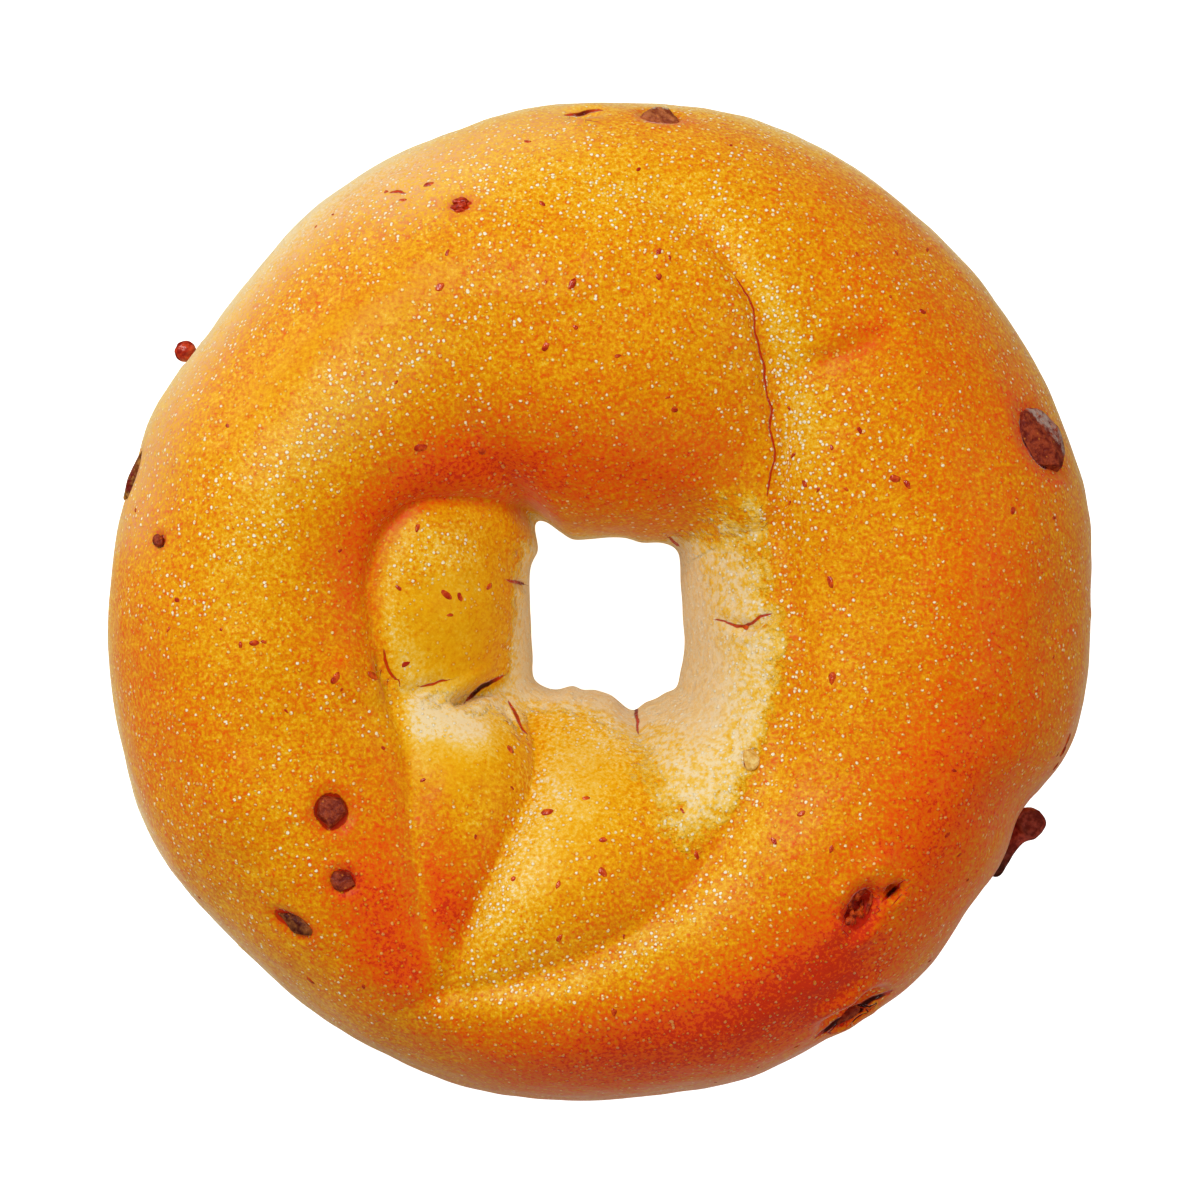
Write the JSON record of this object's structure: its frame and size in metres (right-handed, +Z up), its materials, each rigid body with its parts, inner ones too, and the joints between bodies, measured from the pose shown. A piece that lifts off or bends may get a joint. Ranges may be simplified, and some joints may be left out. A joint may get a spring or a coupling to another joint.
{
  "type": "bagel",
  "caption": "Twisted bagel: a glossy golden ring of baked dough with a squarish hole, and chopped nut and dried fruit pieces set in its crust.",
  "frame": {"origin": "on the flat underside, at the centre of the ring's outline", "axes": "+Z up through the hole; +Y across the ring towards the broad smooth strand, +X to the right of it seen from above"},
  "size_m": [0.1033, 0.105, 0.039],
  "materials": {
    "crust": "satin",
    "nut": "satin",
    "fruit": "gloss"
  },
  "bodies": {
    "root": {"dough_ring": "crust", "nut_piece_right": "nut", "nut_piece_top": "nut", "nut_piece_lower_left": "nut", "nut_piece_lower_left_small": "nut", "nut_sliver_lower_left": "nut", "nut_sliver_left_edge": "nut", "nut_piece_in_tear": "nut", "nut_piece_in_slit": "nut", "nut_crumb_left": "nut", "nut_crumb_by_hole": "nut", "fruit_crumb_top": "fruit", "fruit_bead": "fruit", "fruit_stalk": "fruit"}
  },
  "joints": []
}
